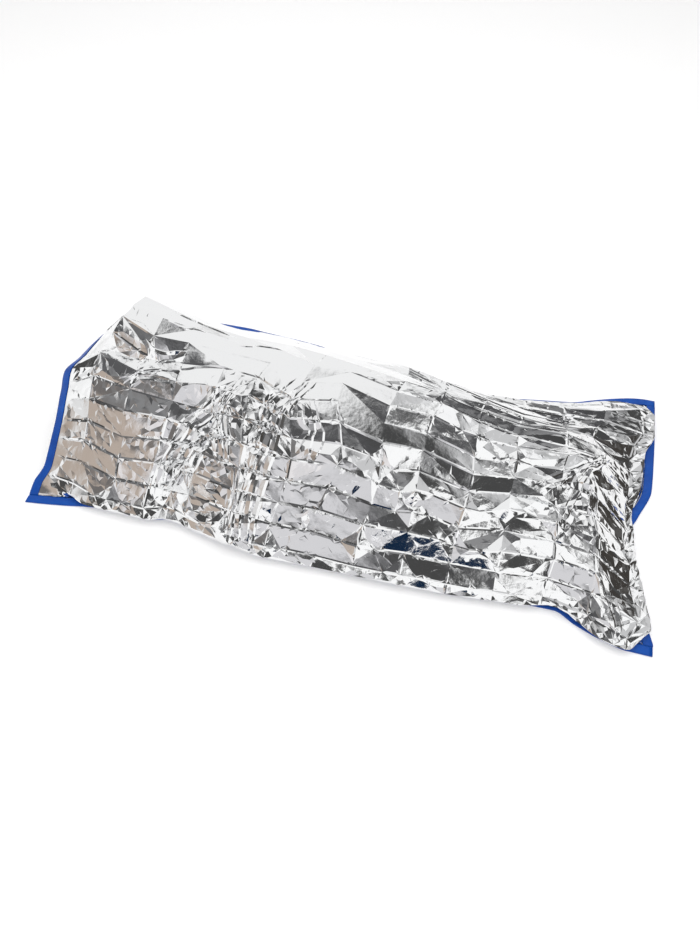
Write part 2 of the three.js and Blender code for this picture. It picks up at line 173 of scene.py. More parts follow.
# How rough the film is at places on it: storage facets, accordion strips along the length, fine crinkle
ROUGHNESS = table(
    "along share facet strip crinkle",
    [
        [80, 0.12, 0.8, 0.5, 2.0],
        [300, 0.12, 0.8, 0.5, 2.2],
        [300, 0.3, 0.9, 0.8, 2.2],
        [150, 0.48, 1.5, 0.2, 2.2],
        [300, 0.46, 1.4, 0.2, 1.3],
        [120, 0.7, 0.5, 0.1, 0.6],
        [330, 0.56, 0.15, 0.1, 0.3],
        [480, 0.51, 0.15, 0.1, 0.3],
        [640, 0.52, 0.15, 0.1, 0.3],
        [800, 0.55, 0.15, 0.1, 0.3],
        [450, 0.58, 0.12, 0.1, 0.25],
        [700, 0.6, 0.1, 0.1, 0.2],
        [950, 0.58, 0.15, 0.1, 0.25],
        [400, 0.78, 0.2, 0.2, 0.4],
        [750, 0.8, 0.3, 0.2, 0.4],
        [600, 0.12, 1.0, 0.5, 5.0],
        [590, 0.27, 1.0, 0.4, 5.5],
        [660, 0.19, 1.0, 0.4, 5.5],
        [680, 0.38, 1.0, 0.4, 4.5],
        [470, 0.1, 0.3, 0.1, 2.5],
        [490, 0.25, 0.3, 0.1, 2.5],
        [570, 0.37, 0.4, 0.1, 3.0],
        [750, 0.12, 0.3, 0.1, 2.0],
        [760, 0.28, 0.3, 0.1, 2.0],
        [800, 0.43, 0.4, 0.1, 2.0],
        [850, 0.12, 0.75, 0.6, 1.6],
        [950, 0.2, 0.75, 0.7, 1.5],
        [900, 0.36, 0.8, 0.5, 1.0],
        [1100, 0.1, 1.1, 0.8, 1.0],
        [1200, 0.3, 0.9, 1.0, 0.9],
        [1150, 0.5, 0.6, 0.8, 0.5],
        [1250, 0.66, 0.7, 0.9, 0.9],
        [1250, 0.85, 0.9, 0.8, 1.1],
        [1500, 0.15, 1.2, 1.0, 0.9],
        [1500, 0.4, 1.0, 1.2, 0.9],
        [1500, 0.65, 1.1, 1.0, 1.1],
        [1500, 0.85, 1.0, 0.9, 1.2],
        [1750, 0.2, 1.2, 0.8, 1.0],
        [1750, 0.6, 1.2, 0.8, 1.2],
        [1890, 0.1, 2.4, 0.2, 3.0],
        [1890, 0.25, 2.8, 0.2, 4.5],
        [1890, 0.4, 2.8, 0.2, 4.5],
        [1890, 0.55, 2.4, 0.2, 4.0],
        [1900, 0.8, 1.6, 0.3, 1.8],
    ])

# How the roughness is blended between those places
ROUGH_WIDTH = 0.5  # about the film's width as a share of its length
ROUGH_BLEND = 1e-4  # evens out the blend close to a place

# Storage creases, which the film was folded along, on the grid that the film is made on
ROWS = 402
COLUMNS = 208
ROWS_PER_CELL = 28
COLUMNS_PER_CELL = 13
FIRST_CREASE = 8  # column of the first crease along the length
ROW_STEP = LENGTH / ROWS
COLUMN_STEP = GIRTH / COLUMNS
NODE_RISE = 3.0  # uneven rise of the corners of the cells
STRIP_RISE = (2.0, 8.0)  # alternate rise of the creases along the length, least and most
STRIP_RUN = 3  # cells between changes of that rise
INNER_RISE = 3.0  # uneven rise inside the cells
INNER_SHARE = 1.15  # how many corners lie inside a cell, by its roughness
INNER_PLACE = (0.15, 0.85)  # shares of the cell between which they lie
PINCH_CORNERS = 8  # corners around a pinch, and their distances from it by turns
PINCH_REACH = (34.0, 52.0)
RIDGE_STEP = 32.0  # spacing of the corners along a main fold
CREASE_RISE = 1.7  # sharp lip of a storage crease
LIP_ACROSS = (0.2, 0.9)  # share of that rise across the length, on average and in waves
LIP_ALONG = (0.75, 0.4)  # the same along the length, and the limits of the sum
LIP_LIMITS = (0.35, 1.2)
LIP_LEAST = 0.2  # share of a lip that is left where the film is smooth
LIP_END = 2.5  # steps of the grid over which a lip across the length fades at a crossing
LIP_WAVE = 170.0  # length of the waves in which the lips rise and fade
LIP_SPACING = 3  # steps of the grid between the corners along a lip
EDGE_SPACING = 5  # steps of the grid between the corners along a facet's edge
ON_BORDER = 0.01  # steps of the grid within which a place counts as on the border
CRINKLE_STEP = 15.0  # spacing and rise of the fine crinkle
CRINKLE_RISE = 0.45
CRINKLE_FULL = 1.6  # crinkle from which on none of its corners is left out
CRINKLE_STRAY = 0.4  # how far its corners stray, in spacings
CRINKLE_CLEAR = 1.6  # steps of the grid that it keeps off the storage creases
CRINKLE_UNDER = 0.1  # height of a pleat from which on there is no crinkle
PLEAT_STEP = 26.0  # spacing of the corners along a pleat
SHARP = 4.5  # angle in degrees from which on two facets meet at a sharp crease
WOBBLE = 330.0  # length of the waves in which the storage creases stray, and how far they do
WOBBLE_ALONG = 13.0
WOBBLE_ACROSS = 0.01
CALM_SIDE = 0.018  # shares of the girth and lengths over which the relief fades at the edges
CALM_MOUTH = 45.0
CALM_FOOT = 28.0
SEED = 7
WAVES = 7  # waves in an uneven field, and the spread of their lengths about the one asked for
WAVE_SPREAD = (0.7, 1.5)
CURVE_STEPS = 40  # steps between two knots of a cross section
HEM_STEPS = np.arange(0, 4, 0.5)  # places on the hem's profile, counted in its corners
HEM = len(HEM_STEPS)
SMOOTHED = 6  # columns or rows past the hem that are rounded with it
HEM_FLAT = 2  # columns or rows of the hem's flat, which stay as they are
HEM_ROUNDS = 4  # times that the hems are rounded
MERGED = 1e-4  # steps of the grid within which two places become one
SLACK = 1e-6  # how far a place on the edge of a triangle may lie outside it
TINY = 1e-9  # least length that a direction is divided by

# Grids and low ripples of the tapes and the bottom film
TAPE_STEPS = 6  # strips across each leg of a tape
TAPE_RISE = 0.9  # ripple of a tape's upper leg, and its length
TAPE_WAVE = 46.0
RIPPLE_FROM = -1.0  # distance from the folded edge where the ripple starts, and over which it grows
RIPPLE_REACH = 12.0
TAPE_ENDS = 2  # columns of the two films that the tapes across the bag leave free at each end
LOWER_TAPE_ENDS = 4
BOTTOM_ROWS = 200
BOTTOM_COLUMNS = 100
BOTTOM_RISE = 1.6  # ripple of the bottom film, its length, its waves and how it grows past the margin
BOTTOM_WAVE = 60.0
BOTTOM_WAVES = 12
BOTTOM_CALM = 60.0

# Looks of the film and the tape: colours, scale and detail of noises, and depths of dents in metres
FILM_COLOUR = (0.845, 0.85, 0.855, 1)
TOP_FILM = (1, 0.03, 0.09)  # how metallic a film is, and its least and most haze
BOTTOM_FILM = (0.5, 0.3, 0.5)
FILM_HAZE = (9, 4)
FILM_DENTS = (60, 3)
FILM_DENT_DEPTH = 0.0003
TAPE_DARK = (0.002, 0.054, 0.31, 1)
TAPE_LIGHT = (0.004, 0.081, 0.41, 1)
TAPE_STREAKS = (14, 4)
TAPE_PATCHES = (30, 3)
TAPE_ROUGHNESS = (0.3, 0.5)
TAPE_SHINE = 0.3
TAPE_DENTS = (120, 3)
TAPE_DENT_DEPTH = 0.0006
NOISE_RANGE = (0.3, 0.7)  # levels that a noise mostly stays between

# Camera at the photo's viewing angle, in degrees, metres and pixels, with its sensor in millimetres
AZIMUTH = 15.0
ELEVATION = 52.0
CAMERA_DISTANCE = 2.45
TARGET = Vector((-0.005, -0.06, 0))
SENSOR = 36.0
FOCAL_PIXELS = 715.0
LONG_SIDE = 933.0

# Studio: sizes in metres, levels of light and colours
CEILING_HEIGHT = 5.0
CEILING_SIZE = 8.0
CEILING_LEVEL = 1.1
FLOOR_HALF = 15.0
FLOOR_DROP = 0.0003  # how far the floor lies under the bag
FLOOR_COLOUR = (0.9, 0.9, 0.9, 1)
FLOOR_ROUGHNESS = 0.7
FLOOR_GLOW = (1, 1, 1, 1)
FLOOR_GLOW_LEVEL = 0.16
PALE_BACKDROP = (0.723, 0.721, 0.718, 1)

# Soft panels that the film mirrors: bearing, height, inner and outer half width, solidity and colour
PANELS = [
    (-70, 26, 12, 22, 0.85, (1.0, 1.0, 1.0)),
    (-46, 39, 11, 25, 0.88, (0.46, 0.365, 0.295)),
    (-62, 58, 12, 22, 0.85, (0.12, 0.12, 0.125)),
    (-100, 67, 9, 18, 0.75, (0.12, 0.12, 0.125)),
    (-12, 50, 11, 22, 0.7, (1.05, 1.04, 1.07)),
    (-22, 69, 6, 12, 0.5, (0.12, 0.12, 0.125)),
    (12, 64, 6, 12, 0.5, (0.1, 0.1, 0.105)),
    (60, 88, 8, 12, 0.8, (0.09, 0.09, 0.095)),
    (168, 55, 4, 9, 0.65, (0.09, 0.09, 0.095)),
    (138, 47, 13, 22, 0.6, (1.05, 1.05, 1.06)),
    (112, 12, 20, 26, 0.95, (0.055, 0.05, 0.045)),
    (165, 12, 7, 16, 0.85, (0.08, 0.08, 0.085)),
    (7, 36, 4, 5, 1, (0.007, 0.022, 0.055)),
    (-152, 63, 13, 20, 1, (1, 1, 1)),
    (-159, 38, 18, 26, 1, (1, 1, 1)),
    (-163, 8, 18, 25, 1, (1, 1, 1)),
]

# Light and dark of the room between the panels, by the level of a noise
ROOM = [(0.44, 0.07), (0.485, 0.17), (0.505, 0.55), (0.525, 1.12)]
ROOM_NOISE = (3.0, 1)  # scale and detail of that noise


def fade(value, reach):
    """Smooth rise from 0 to 1 as a value goes from 0 to its reach."""
    t = np.clip(value / reach, 0, 1)
    return t * t * (3 - 2 * t)


def smooth(rows, key, name, at):
    """A column of a table at places between its rows, on a smooth curve that never overshoots them."""
    places, values = rows[key], rows[name]
    span = np.diff(places)
    slope = np.diff(values) / span
    same = slope[:-1] * slope[1:] > 0
    total = np.where(same, slope[:-1] + slope[1:], 1)
    inner = np.where(same, 2 * slope[:-1] * slope[1:] / total, 0)
    bend = np.concatenate([slope[:1], inner, slope[-1:]])
    row = np.clip(np.searchsorted(places, at, side="right") - 1, 0, len(span) - 1)
    t = (at - places[row]) / span[row]
    rise = fade(t, 1)
    leave = t * (1 - t) ** 2 * span[row] * bend[row]
    arrive = t * t * (t - 1) * span[row] * bend[row + 1]
    return values[row] * (1 - rise) + values[row + 1] * rise + leave + arrive


def curves(knots):
    """Smooth curves through the knots in each row."""
    first = 2 * knots[:, :1] - knots[:, 1:2]
    last = 2 * knots[:, -1:] - knots[:, -2:-1]
    points = np.concatenate([first, knots, last], axis=1)
    spans = np.linalg.norm(np.diff(points, axis=1), axis=2)[:, :, None]
    t = np.linspace(0, 1, CURVE_STEPS, endpoint=False)[None, :, None]
    rise = fade(t, 1)
    made = []
    for k in range(knots.shape[1] - 1):
        earlier, start, end, later = (points[:, k + n, None] for n in range(4))
        before, here, after = (spans[:, k + n, None] for n in range(3))
        leave = ((start - earlier) / before - (end - earlier) / (before + here) + (end - start) / here) * here
        arrive = ((end - start) / here - (later - start) / (here + after) + (later - end) / after) * here
        made.append(start * (1 - rise) + end * rise + t * (1 - t) ** 2 * leave + t * t * (t - 1) * arrive)
    made.append(knots[:, -1:])
    return np.concatenate(made, axis=1)


def hem_profile(inset):
    """The hem from a seam edge inwards, at the steps of the hem: distance from the edge, and height."""
    inset = np.asarray(inset, float)
    away = np.stack([0 * inset, 0 * inset + FLANGE, 0 * inset + RISE_AT, (RISE_AT + inset) / 2, inset], -1)
    up = np.array([FLANGE_MID, FLANGE_MID, RISE_UP, FOLD_UP, HEM_UP])
    low = np.floor(HEM_STEPS).astype(int)
    part = HEM_STEPS - low
    return (away[..., low] * (1 - part) + away[..., low + 1] * part,
            up[low] * (1 - part) + up[low + 1] * part)


def foot_share(along):
    """Share of the foot seam's setback that a place along the bag takes."""
    return np.maximum(0, 1 - (LENGTH - along) / FOOT_REACH)


def width_share(across):
    """Share of the width of the lofted film at the foot."""
    near = SECTIONS["near_edge"][-1] + SECTIONS["near_inset"][-1]
    far = SECTIONS["far_edge"][-1] - SECTIONS["far_inset"][-1]
    return np.clip((across - near) / (far - near), 0, 1)


def waves(along, girth, length, draws, count=WAVES):
    """Smooth uneven field of about one, with waves of about that length."""
    angles = draws.uniform(0, 2 * math.pi, count)
    phases = draws.uniform(0, 2 * math.pi, count)
    turns = 2 * math.pi / (length * draws.uniform(*WAVE_SPREAD, count))
    total = sum(np.sin((along * math.cos(angle) + girth * math.sin(angle)) * turn + phase)
                for angle, turn, phase in zip(angles, turns, phases))
    return total / math.sqrt(count / 2)


def lofted(along, share):
    """Places across the cross sections at those places along: across and up."""
    value = {name: smooth(SECTIONS, "along", name, along) for name in SECTIONS}
    level = np.full_like(along, HEM_UP)
    knots = np.stack([
        np.stack([value["near_edge"] + value["near_inset"], level], -1),
        np.stack([value["near_knee_at"], value["near_knee_up"]], -1),
        np.stack([value["crest_at"], value["crest_up"]], -1),
        np.stack([value["far_knee_at"], value["far_knee_up"]], -1),
        np.stack([value["far_edge"] - value["far_inset"], level], -1),
    ], axis=1)
    curve = curves(knots)
    run = np.cumsum(np.linalg.norm(np.diff(curve, axis=1), axis=2), axis=1)
    run = np.pad(run, ((0, 0), (1, 0))) / run[:, -1:]
    across, up = (
        np.array([np.interp(at, lengths, points[:, n]) for at, lengths, points in zip(share, run, curve)])
        for n in (0, 1))
    near, hem_up = hem_profile(value["near_inset"])
    far, _ = hem_profile(value["far_inset"])
    across = np.concatenate([
        value["near_edge"][:, None] + near, across, value["far_edge"][:, None] - far[:, ::-1]], axis=1)
    rows = np.ones((len(along), 1))
    return across, np.concatenate([rows * hem_up, up, rows * hem_up[::-1]], axis=1)


def film_places():
    """Smooth places of the top film's grid."""
    draws = np.random.default_rng(SEED)
    along = np.linspace(0, LENGTH, ROWS + 1)
    share = np.tile(np.linspace(0, 1, COLUMNS + 1), (ROWS + 1, 1))
    inside = share * (1 - share) * 4
    inside = inside * (fade(along, LIP_REACH / 2) * fade(LENGTH - along, FOOT_REACH / 2))[:, None]
    stray = WOBBLE_ALONG * inside * waves(along[:, None], share * GIRTH, WOBBLE, draws)
    drawn = share + WOBBLE_ACROSS * inside * waves(along[:, None], share * GIRTH, WOBBLE, draws)
    across, up = lofted(along, drawn)
    share = np.pad(share, ((0, 0), (HEM, HEM)), constant_values=((0, 0), (0, 1)))
    width = np.where((share > 0) & (share < 1), width_share(across), share)
    lip = smooth(LIP, "share", "setback", share) * np.maximum(0, 1 - along / LIP_REACH)[:, None]
    foot = smooth(FOOT, "share", "setback", width) + smooth(FOOT, "share", "inset", width)
    x = along[:, None] + lip - foot * foot_share(along)[:, None] + np.pad(stray, ((0, 0), (HEM, HEM)))
    grid = np.stack([x, across, up], -1)
    return round_hems(np.concatenate([grid, foot_hem(grid[-1], width[-1])]))


def foot_hem(last, width):
    """Rows of the foot hem, from the lofted film down to the seam edge."""
    seam = LENGTH - smooth(FOOT, "share", "setback", width)
    away, up = hem_profile(smooth(FOOT, "share", "inset", width))
    rows = [
        np.stack([seam - away[:, step], last[:, 1], np.minimum(last[:, 2], up[step])], -1)
        for step in reversed(range(HEM))]
    return np.array(rows)


def round_hems(grid):
    """The grid with the sharp corners of its hems rounded."""
    for _ in range(HEM_ROUNDS):
        for part in (slice(HEM_FLAT, HEM + SMOOTHED), slice(-HEM - SMOOTHED, -HEM_FLAT)):
            near = grid[:, part]
            near[:, 1:-1] = (near[:, :-2] + 2 * near[:, 1:-1] + near[:, 2:]) / 4
        last = grid[-HEM - SMOOTHED:-HEM_FLAT]
        last[1:-1] = (last[:-2] + 2 * last[1:-1] + last[2:]) / 4
    return grid


def normals(grid):
    """Unit normals of a grid of places, pointing up and out."""
    one = grid[1:, 1:] - grid[:-1, :-1]
    other = grid[:-1, 1:] - grid[1:, :-1]
    face = np.cross(one, other)
    face /= np.maximum(np.linalg.norm(face, axis=-1, keepdims=True), TINY)
    total = np.zeros_like(grid)
    for part in (np.s_[:-1, :-1], np.s_[1:, :-1], np.s_[:-1, 1:], np.s_[1:, 1:]):
        total[part] += face
    return total / np.maximum(np.linalg.norm(total, axis=-1, keepdims=True), TINY)


def distance(places, path):
    """Distance of places (row, column) from a path, signed by its side, and shares of it that they are at."""
    along, girth = places[:, 0] * ROW_STEP, places[:, 1] * COLUMN_STEP
    best = np.full(along.shape, np.inf)
    side = np.zeros(along.shape)
    at = np.zeros(along.shape)
    points = np.array(path, float) * [1, GIRTH]
    for k, (start, run) in enumerate(zip(points, np.diff(points, axis=0))):
        dx, dy = along - start[0], girth - start[1]
        t = np.clip((dx * run[0] + dy * run[1]) / (run @ run), 0, 1)
        away = np.hypot(dx - t * run[0], dy - t * run[1])
        closer = away < best
        best = np.where(closer, away, best)
        side = np.where(closer, np.sign(dx * run[1] - dy * run[0]), side)
        at = np.where(closer, (k + t) / (len(points) - 1), at)
    return best * side, at


def bulge(away, half):
    """Profile of a main fold, 1 at its middle and 0 at half its width."""
    return np.maximum(0, 1 - (away / half) ** 2) ** 2


def main_folds(places):
    """Height of the main folds: the highest ridge and the deepest valley at each place."""
    heights = []
    for half, rise, path in MAIN_FOLDS:
        away, at = distance(places, path)
        heights.append(rise * bulge(away, half) * fade(1 - at, FOLD_END))
    return np.maximum(0, np.max(heights, axis=0)) + np.minimum(0, np.min(heights, axis=0))


def pleat_middle(number, count, spacing, at):
    """How far the crest of a pleat runs from its bundle's path, at shares of the path."""
    half_waves, start = 2 + number, 2 * number
    return (number - (count - 1) / 2) * spacing + PLEAT_STRAY * np.sin(math.pi * half_waves * at + start)


def pleats(places):
    """Height of the bundles of narrow sharp pleats, steep on one side, which fade at both ends."""
    total = np.zeros(len(places))
    for half, rise, count, spacing, path in PLEATS:
        away, at = distance(places, path)
        taper = fade(at, PLEAT_END) * fade(1 - at, PLEAT_END)
        for number in range(count):
            beside = away - pleat_middle(number, count, spacing, at)
            slope = np.where(beside < 0, beside / PLEAT_SIDES[0], beside / PLEAT_SIDES[1]) / half
            total += rise * (1 - PLEAT_DROP * (number % 2)) * taper * np.maximum(0, 1 - np.abs(slope))
    return total


def pleat_lines():
    """Places (row, column) along the crests and feet of the pleats, in lines."""
    lines = []
    for half, _, count, spacing, path in PLEATS:
        points = np.array(path, float) * [1, GIRTH]
        length = np.linalg.norm(np.diff(points, axis=0), axis=1).sum()
        at = np.linspace(0, 1, int(length / PLEAT_STEP) + 2)
        stops = np.arange(len(points))
        course = np.stack([np.interp(at * stops[-1], stops, points[:, n]) for n in (0, 1)], -1)
        run = np.gradient(course, axis=0)
        side = np.stack([run[:, 1], -run[:, 0]], -1) / np.linalg.norm(run, axis=1, keepdims=True)
        for number in range(count):
            middle = pleat_middle(number, count, spacing, at)
            for foot in (-PLEAT_SIDES[0] * half, 0, PLEAT_SIDES[1] * half):
                line = course + side * (middle + foot)[:, None]
                lines.append(np.clip(line / [ROW_STEP, COLUMN_STEP], 1, [ROWS - 1, COLUMNS - 1]))
    return lines


def rough(places, name):
    """A kind of roughness at places (row, column) on the film, blended from the places in its table."""
    along, share = places[:, 0] * ROW_STEP, places[:, 1] / COLUMNS
    total = np.zeros(len(places))
    weights = np.zeros(len(places))
    for place, part, value in zip(ROUGHNESS["along"], ROUGHNESS["share"], ROUGHNESS[name]):
        apart = ((along - place) / LENGTH) ** 2 + ((share - part) * ROUGH_WIDTH) ** 2
        weight = 1 / (apart + ROUGH_BLEND) ** 2
        total += weight * value
        weights += weight
    return total / weights


def sampled(grid, places):
    """Values of a grid at places (row, column) between its points."""
    low = np.minimum(np.floor(places).astype(int), np.array(grid.shape[:2]) - 2)
    row, column = low.T
    down, over = (places - low).T[:, :, None]
    before = grid[row, column] * (1 - over) + grid[row, column + 1] * over
    after = grid[row + 1, column] * (1 - over) + grid[row + 1, column + 1] * over
    return before * (1 - down) + after * down


def triangulated(points, creases):
    """Triangles between points (row, column) that keep the creases: places, edges, triangles and sources."""
    made = delaunay_2d_cdt([Vector(point) for point in points], creases, [], 0, MERGED)
    corners, edges, faces, sources = made[:4]
    places, triangles = np.array([corner[:] for corner in corners]), np.array(faces)
    low, high = places[triangles].min(axis=1), places[triangles].max(axis=1)
    outside = (high < ON_BORDER) | (low > np.array([ROWS, COLUMNS]) - ON_BORDER)
    return places, edges, triangles[~outside.any(axis=1)], sources


def spread(places, triangles, values):
    """Values on the film's grid, linear over each triangle between places (row, column)."""
    out = np.zeros((ROWS + 1, COLUMNS + 1, values.shape[1]))
    for corners in triangles:
        first, second, third = places[corners]
        side, other = second - first, third - first
        low = np.maximum(np.ceil(places[corners].min(axis=0) - SLACK), 0).astype(int)
        high = np.minimum(np.floor(places[corners].max(axis=0) + SLACK), [ROWS, COLUMNS]).astype(int)
        row, column = np.mgrid[low[0]:high[0] + 1, low[1]:high[1] + 1]
        down, over = row - first[0], column - first[1]
        area = side[0] * other[1] - other[0] * side[1]
        u = (down * other[1] - other[0] * over) / area
        v = (side[0] * over - down * side[1]) / area
        inside = (u >= -SLACK) & (v >= -SLACK) & (u + v <= 1 + SLACK)
        u, v = u[inside, None], v[inside, None]
        first, second, third = values[corners]
        out[row[inside], column[inside]] = first + u * (second - first) + v * (third - first)
    return out


def strip_heights(rows, columns, draws):
    """Heights of the storage creases' crossings, up and down by turns, changing slowly along each strip."""
    stops = np.arange(0, rows + STRIP_RUN, STRIP_RUN)
    sizes = draws.uniform(*STRIP_RISE, (columns, len(stops)))
    along = np.stack([np.interp(np.arange(rows), stops, size) for size in sizes], -1)
    return along * np.where(np.arange(columns) % 2, 1, -1)


def storage_net(draws):
    """Corners of the facets in the storage cells: places, heights and the creases that join them."""
    rows = np.append(np.arange(0, ROWS, ROWS_PER_CELL), ROWS)
    columns = np.concatenate([[0], np.arange(FIRST_CREASE, COLUMNS, COLUMNS_PER_CELL), [COLUMNS]])
    nodes = np.array([(i, j) for i in rows for j in columns], float)
    across, count = len(columns), len(nodes)
    facet = rough(nodes, "facet")
    levels = NODE_RISE * facet * draws.uniform(-1, 1, count)
    levels += rough(nodes, "strip") * strip_heights(len(rows), across, draws).ravel()
    points, heights = list(nodes), list(levels)
    below = [(node, node + across) for node in range(count - across)]
    beside = [(node, node + 1) for node in range(count) if (node + 1) % across]
    for one, other in beside[:-across + 1]:
        corners = [one, other, one + across, other + across]
        for _ in range(max(0, int(INNER_SHARE * facet[one] - 1 + draws.uniform()))):
            down, over = draws.uniform(*INNER_PLACE, 2)
            weights = np.array([(1 - down) * (1 - over), (1 - down) * over, down * (1 - over), down * over])
            points.append(np.round(weights @ nodes[corners]))
            heights.append(weights @ levels[corners] + INNER_RISE * facet[one] * draws.uniform(-1, 1))
    return np.array(points), np.array(heights), below + beside


def pinched():
    """Places (row, column) of the storage creases' crossings that are pinched."""
    rows = np.round(PINCHES["along"] / ROW_STEP / ROWS_PER_CELL) * ROWS_PER_CELL
    columns = np.round((PINCHES["share"] * COLUMNS - FIRST_CREASE) / COLUMNS_PER_CELL) * COLUMNS_PER_CELL
    return np.stack([rows, columns + FIRST_CREASE], -1)


def pinch_rings():
    """Places (row, column) of the rings of corners around the pinches, near and far by turns."""
    turn = np.arange(PINCH_CORNERS) * 2 * math.pi / PINCH_CORNERS
    reach = np.where(np.arange(PINCH_CORNERS) % 2, *PINCH_REACH) / ROW_STEP
    ring = np.stack([np.cos(turn) * reach, np.sin(turn) * reach], -1)
    return np.clip(np.round(pinched()[:, None] + ring).reshape(-1, 2), 1, [ROWS - 1, COLUMNS - 1])


def ridge_points():
    """Places (row, column) along the middles of the main folds."""
    places = []
    for _, _, path in MAIN_FOLDS:
        points = np.array(path) * [1 / ROW_STEP, COLUMNS]
        for start, end in zip(points, points[1:]):
            steps = int(np.linalg.norm(end - start) * ROW_STEP / RIDGE_STEP)
            places += list(np.linspace(start, end, steps, endpoint=False))
    return np.round(places)


def faceted(film, out, draws):
    """The film as flat facets between the storage creases and the main folds: its grid, corners and edges."""
    points, heights, creases = storage_net(draws)
    places, _, triangles, sources = triangulated(points, creases)
    storage = spread(places, triangles, heights[[ids[0] for ids in sources], None])
    points = np.concatenate([points, ridge_points(), pinch_rings()])
    places, edges, triangles, _ = triangulated(points, creases)
    heights = sampled(storage, places)
    heights[:, 0] += main_folds(places)
    for place, rise in zip(pinched(), PINCHES["rise"]):
        heights[np.argmin(np.hypot(*(places - place).T))] += rise
    return spread(places, triangles, sampled(film, places) + sampled(out, places) * heights), places, edges


def crease_offsets(places):
    """Distances, in steps of the grid, of places from the nearest storage creases across and along."""
    row, column = places.T
    half_row, half_column = ROWS_PER_CELL / 2, COLUMNS_PER_CELL / 2
    across = np.abs((row + half_row) % ROWS_PER_CELL - half_row)
    along = np.abs((column - FIRST_CREASE + half_column) % COLUMNS_PER_CELL - half_column)
    return across, along


def crease_lips(places, draws):
    """Height of the sharp lips along the storage creases, up and down by turns and broken into stretches."""
    row, column = places.T
    wave = waves(row * ROW_STEP, column * COLUMN_STEP, LIP_WAVE, draws)
    across, along = crease_offsets(places)
    level, swing = LIP_ACROSS
    lip = np.clip(level + swing * wave, 0, 1) * np.maximum(0, 1 - across) * fade(along, LIP_END)
    level, swing = LIP_ALONG
    turn = 1 - 2 * (np.round((column - FIRST_CREASE) / COLUMNS_PER_CELL) % 2)
    lip += turn * np.clip(level + swing * wave, *LIP_LIMITS) * np.maximum(0, 1 - along)
    return CREASE_RISE * lip * np.clip(rough(places, "crinkle"), LIP_LEAST, 1)


def lip_points():
    """Places (row, column) along the storage creases and beside them."""
    places = []
    for row in range(ROWS_PER_CELL, ROWS, ROWS_PER_CELL):
        places += [(row + beside, j) for beside in (-1, 0, 1) for j in range(1, COLUMNS, LIP_SPACING)]
    for column in range(FIRST_CREASE, COLUMNS, COLUMNS_PER_CELL):
        places += [(i, column + beside) for beside in (-1, 0, 1) for i in range(1, ROWS, LIP_SPACING)]
    return np.array(places, float)


def crinkle(draws):
    """Corners of the fine crinkle, close together where the film is rough: places and heights."""
    step = CRINKLE_STEP / ROW_STEP
    rows, columns = np.meshgrid(np.arange(step, ROWS - step, step), np.arange(step, COLUMNS - step, step))
    places = np.stack([rows.ravel(), columns.ravel()], -1)
    places += draws.uniform(-CRINKLE_STRAY, CRINKLE_STRAY, places.shape) * step
    level = rough(places, "crinkle")
    heights = CRINKLE_RISE * level * draws.uniform(-1, 1, len(places))
    kept = draws.uniform(0, CRINKLE_FULL, len(places)) < level
    kept &= np.min(crease_offsets(places), axis=0) > CRINKLE_CLEAR
    kept &= np.abs(pleats(places)) < CRINKLE_UNDER
    return places[kept], heights[kept]


def border():
    """Places (row, column) in order around the edge of the lofted film."""
    near = [(i, 0) for i in range(ROWS)]
    foot = [(ROWS, j) for j in range(COLUMNS)]
    far = [(i, COLUMNS) for i in range(ROWS, 0, -1)]
    mouth = [(0, j) for j in range(COLUMNS, 0, -1)]
    return np.array(near + foot + far + mouth)


def calmness():
    """How much of the relief shows, from 0 at the edges of the film to 1, on its grid."""
    along = np.linspace(0, LENGTH, ROWS + 1)[:, None]
    share = np.linspace(0, 1, COLUMNS + 1)
    ends = fade(along - TAPE_LEG, CALM_MOUTH) * fade(LENGTH - along, CALM_FOOT)
    return (ends * fade(share, CALM_SIDE) * fade(1 - share, CALM_SIDE))[..., None]


def facet_lines(corners, edges):
    """Places (row, column) along the edges of the facets inside the border, in lines."""
    lines = []
    for edge in edges:
        ends = corners[list(edge)]
        on_border = (ends < ON_BORDER) | (ends > np.array([ROWS, COLUMNS]) - ON_BORDER)
        if not on_border.all(axis=0).any():
            steps = math.ceil(np.linalg.norm(ends[1] - ends[0]) / EDGE_SPACING)
            lines.append(np.linspace(*ends, steps + 1))
    return lines


def creased_net(corners, edges, draws):
    """The net that the film's mesh is made on: places, triangles, fine heights and numbers of its border."""
    edge, rough_places, levels = border(), *crinkle(draws)
    groups = [edge, lip_points(), rough_places]
    points = np.concatenate(groups)
    creases = [(k, (k + 1) % len(edge)) for k in range(len(edge))]
    for line in pleat_lines() + facet_lines(corners, edges):
        creases += [(len(points) + n, len(points) + n + 1) for n in range(len(line) - 1)]
        points = np.concatenate([points, line])
    level = np.zeros(len(points))
    first = sum(len(group) for group in groups[:-1])
    level[first:first + len(levels)] = levels
    places, _, triangles, sources = triangulated(points, creases)
    heights = np.array([level[ids[0]] if ids else 0 for ids in sources])
    heights += pleats(places) + crease_lips(places, draws)
    found = {source: k for k, ids in enumerate(sources) for source in ids}
    return places, triangles, heights[:, None], [found[k] for k in range(len(edge))]


